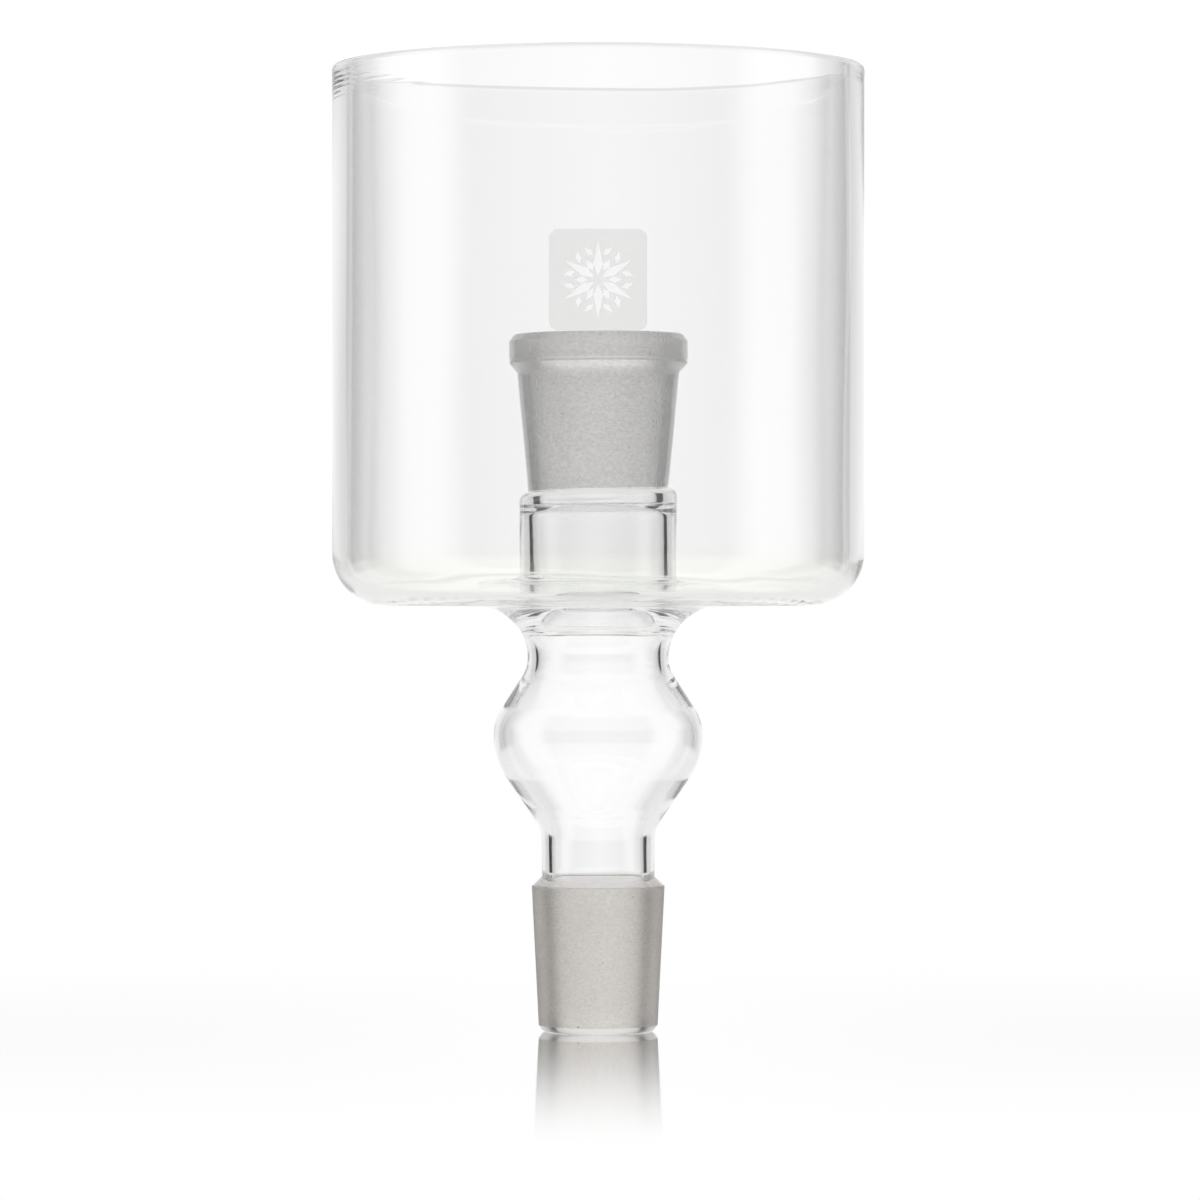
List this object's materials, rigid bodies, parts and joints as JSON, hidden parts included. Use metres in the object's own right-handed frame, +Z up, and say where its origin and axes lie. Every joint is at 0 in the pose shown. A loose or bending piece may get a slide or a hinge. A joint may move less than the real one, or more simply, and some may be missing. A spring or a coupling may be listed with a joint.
{
  "type": "ground-joint glass ice cup",
  "caption": "Clear glass cup with a ground socket on a central riser tube inside and a bulbed stem with a ground cone below, open right through along its axis.",
  "frame": {"origin": "centre of the tip ring of the ground cone, on the surface that the part stands on", "axes": "+Z up along the common axis of the cone, the stem, the socket and the cup; the badge faces -Y; +X to the right when seen from the badge side"},
  "size_m": [0.117, 0.1171, 0.2122],
  "materials": {
    "clear_glass": "clear, polished borosilicate tube with faint draw lines and small seeds",
    "seal_glass": "clear fused seal, thicker glass with a faint green cast and slight waves",
    "ground_glass": "fine-ground frosted glass with faint grinding rings",
    "frost": "fine white frosting on the outer surface"
  },
  "bodies": {
    "root": {"cup_wall": "clear_glass", "cup_floor": "clear_glass", "floor_seal": "seal_glass", "riser_tube": "clear_glass", "socket_seal": "seal_glass", "ground_socket": "ground_glass", "stem_collar": "seal_glass", "stem_bulb": "clear_glass", "neck_tube": "clear_glass", "ground_cone": "ground_glass", "front_badge": "frost"}
  },
  "joints": []
}
